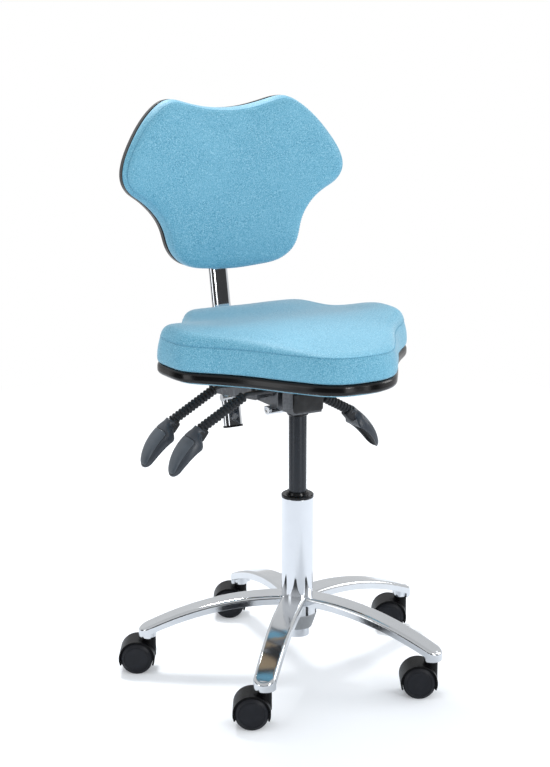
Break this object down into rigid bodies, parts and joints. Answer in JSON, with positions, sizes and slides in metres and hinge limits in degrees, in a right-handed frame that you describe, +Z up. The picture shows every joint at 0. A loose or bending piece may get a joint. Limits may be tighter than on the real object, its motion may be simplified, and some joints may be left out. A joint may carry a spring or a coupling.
{
  "type": "medical chair",
  "caption": "Swivelling clinic chair with a saddle-like padded seat, a winged padded back on a sliding stem, adjusting levers, a gas lift and a star base on castors.",
  "frame": {"origin": "on the floor, under the axis of the gas column", "axes": "+Z up the column, the sitter faces -Y, and +X is the sitter's left"},
  "size_m": [0.5164, 0.5229, 0.8854],
  "materials": {
    "cast_aluminium": "polished casting",
    "bright_chrome": "mirror plated",
    "dark_cylinder": "satin black",
    "black_ring": "gloss black",
    "zinc_steel": "zinc plated",
    "charcoal_plate": "powder coat",
    "black_cover": "moulded",
    "ply_board": "bare plywood",
    "black_edging": "gloss black",
    "blue_fabric": "felted wool weave",
    "black_shell": "gloss black",
    "rubber_sleeve": "ribbed, matt",
    "grey_handle": "moulded, fine texture",
    "black_hood": "moulded",
    "black_wheel": "moulded"
  },
  "bodies": {
    "base": {"star_base": "cast_aluminium", "gas_tube": "bright_chrome", "tube_ring": "black_ring", "piston_rod": "zinc_steel"},
    "lift": {"gas_cylinder": "dark_cylinder"},
    "upper": {"rod_collar": "dark_cylinder", "mech_housing": "zinc_steel", "front_cover": "black_cover", "tilt_pin": "zinc_steel", "back_pin": "zinc_steel", "lever_pins": "zinc_steel", "spring_barrel": "bright_chrome"},
    "seat": {"seat_plate": "charcoal_plate", "seat_bolts": "zinc_steel", "seat_board": "ply_board", "seat_trim": "black_edging", "seat_cushion": "blue_fabric"},
    "bracket": {"back_bracket": "charcoal_plate", "clamp_bolt": "zinc_steel"},
    "back": {"back_stem": "bright_chrome", "stem_end_cap": "black_hood", "stem_stop_bolt": "zinc_steel", "back_mount": "black_cover", "back_bolts": "zinc_steel", "back_shell": "black_shell", "back_cushion": "blue_fabric"},
    "lever_front": {"lever_front_rod": "charcoal_plate", "lever_front_sleeve": "rubber_sleeve", "lever_front_handle": "grey_handle"},
    "lever_rear": {"lever_rear_rod": "charcoal_plate", "lever_rear_sleeve": "rubber_sleeve", "lever_rear_handle": "grey_handle"},
    "lever_left": {"lever_left_rod": "charcoal_plate", "lever_left_sleeve": "rubber_sleeve", "lever_left_handle": "grey_handle"},
    "castor_1": {"castor_1_stem": "zinc_steel", "castor_1_hood": "black_hood", "castor_1_axle": "zinc_steel"},
    "castor_1_wheel_a": {"castor_1_wheel_a": "black_wheel"},
    "castor_1_wheel_b": {"castor_1_wheel_b": "black_wheel"},
    "castor_2": {"castor_2_stem": "zinc_steel", "castor_2_hood": "black_hood", "castor_2_axle": "zinc_steel"},
    "castor_2_wheel_a": {"castor_2_wheel_a": "black_wheel"},
    "castor_2_wheel_b": {"castor_2_wheel_b": "black_wheel"},
    "castor_3": {"castor_3_stem": "zinc_steel", "castor_3_hood": "black_hood", "castor_3_axle": "zinc_steel"},
    "castor_3_wheel_a": {"castor_3_wheel_a": "black_wheel"},
    "castor_3_wheel_b": {"castor_3_wheel_b": "black_wheel"},
    "castor_4": {"castor_4_stem": "zinc_steel", "castor_4_hood": "black_hood", "castor_4_axle": "zinc_steel"},
    "castor_4_wheel_a": {"castor_4_wheel_a": "black_wheel"},
    "castor_4_wheel_b": {"castor_4_wheel_b": "black_wheel"},
    "castor_5": {"castor_5_stem": "zinc_steel", "castor_5_hood": "black_hood", "castor_5_axle": "zinc_steel"},
    "castor_5_wheel_a": {"castor_5_wheel_a": "black_wheel"},
    "castor_5_wheel_b": {"castor_5_wheel_b": "black_wheel"}
  },
  "joints": [
    {"name": "height_slide", "type": "slide", "parent": "base", "child": "lift", "axis": [0, 0, 1], "range_m": [-0.115, 0.04]},
    {"name": "seat_swivel", "type": "hinge", "parent": "lift", "child": "upper", "pos_m": [0, 0, 0.42], "axis": [0, 0, 1], "continuous": true},
    {"name": "seat_tilt", "type": "hinge", "parent": "upper", "child": "seat", "pos_m": [0, 0.036, 0.447], "axis": [1, 0, 0], "range_deg": [-3, 3]},
    {"name": "back_tilt", "type": "hinge", "parent": "upper", "child": "bracket", "pos_m": [0, 0.085, 0.431], "axis": [1, 0, 0], "range_deg": [-12, 4]},
    {"name": "back_height", "type": "slide", "parent": "bracket", "child": "back", "axis": [0, 0.1908, 0.9816], "range_m": [-0.02, 0.035]},
    {"name": "lever_front_lift", "type": "hinge", "parent": "upper", "child": "lever_front", "pos_m": [-0.037, -0.02, 0.461], "axis": [0, 1, 0], "range_deg": [0, 7], "stiffness_Nm_per_rad": 0.5, "springref_deg": -17.19},
    {"name": "lever_rear_lift", "type": "hinge", "parent": "upper", "child": "lever_rear", "pos_m": [-0.037, 0.0635, 0.455], "axis": [0, 1, 0], "range_deg": [0, 7], "stiffness_Nm_per_rad": 0.5, "springref_deg": -17.19},
    {"name": "lever_left_lift", "type": "hinge", "parent": "upper", "child": "lever_left", "pos_m": [0.037, 0.008, 0.434], "axis": [0, -1, 0], "range_deg": [0, 7], "stiffness_Nm_per_rad": 0.5, "springref_deg": -17.19},
    {"name": "castor_1_swivel", "type": "hinge", "parent": "base", "child": "castor_1", "pos_m": [0.02462, 0.23421, 0.0558], "axis": [0, 0, 1], "continuous": true},
    {"name": "castor_1_roll_a", "type": "hinge", "parent": "castor_1", "child": "castor_1_wheel_a", "pos_m": [0.00811, 0.24362, 0.025], "axis": [0.4955, 0.8686, 0], "continuous": true},
    {"name": "castor_1_roll_b", "type": "hinge", "parent": "castor_1", "child": "castor_1_wheel_b", "pos_m": [0.00811, 0.24362, 0.025], "axis": [0.4955, 0.8686, 0], "continuous": true},
    {"name": "castor_2_swivel", "type": "hinge", "parent": "base", "child": "castor_2", "pos_m": [-0.21514, 0.09579, 0.0558], "axis": [0, 0, 1], "continuous": true},
    {"name": "castor_2_roll_a", "type": "hinge", "parent": "castor_2", "child": "castor_2_wheel_a", "pos_m": [-0.23164, 0.1052, 0.025], "axis": [0.4955, 0.8686, 0], "continuous": true},
    {"name": "castor_2_roll_b", "type": "hinge", "parent": "castor_2", "child": "castor_2_wheel_b", "pos_m": [-0.23164, 0.1052, 0.025], "axis": [0.4955, 0.8686, 0], "continuous": true},
    {"name": "castor_3_swivel", "type": "hinge", "parent": "base", "child": "castor_3", "pos_m": [-0.15758, -0.17501, 0.0558], "axis": [0, 0, 1], "continuous": true},
    {"name": "castor_3_roll_a", "type": "hinge", "parent": "castor_3", "child": "castor_3_wheel_a", "pos_m": [-0.17408, -0.1656, 0.025], "axis": [0.4955, 0.8686, 0], "continuous": true},
    {"name": "castor_3_roll_b", "type": "hinge", "parent": "castor_3", "child": "castor_3_wheel_b", "pos_m": [-0.17408, -0.1656, 0.025], "axis": [0.4955, 0.8686, 0], "continuous": true},
    {"name": "castor_4_swivel", "type": "hinge", "parent": "base", "child": "castor_4", "pos_m": [0.11775, -0.20395, 0.0558], "axis": [0, 0, 1], "continuous": true},
    {"name": "castor_4_roll_a", "type": "hinge", "parent": "castor_4", "child": "castor_4_wheel_a", "pos_m": [0.10125, -0.19454, 0.025], "axis": [0.4955, 0.8686, 0], "continuous": true},
    {"name": "castor_4_roll_b", "type": "hinge", "parent": "castor_4", "child": "castor_4_wheel_b", "pos_m": [0.10125, -0.19454, 0.025], "axis": [0.4955, 0.8686, 0], "continuous": true},
    {"name": "castor_5_swivel", "type": "hinge", "parent": "base", "child": "castor_5", "pos_m": [0.23035, 0.04896, 0.0558], "axis": [0, 0, 1], "continuous": true},
    {"name": "castor_5_roll_a", "type": "hinge", "parent": "castor_5", "child": "castor_5_wheel_a", "pos_m": [0.21385, 0.05838, 0.025], "axis": [0.4955, 0.8686, 0], "continuous": true},
    {"name": "castor_5_roll_b", "type": "hinge", "parent": "castor_5", "child": "castor_5_wheel_b", "pos_m": [0.21385, 0.05838, 0.025], "axis": [0.4955, 0.8686, 0], "continuous": true}
  ]
}
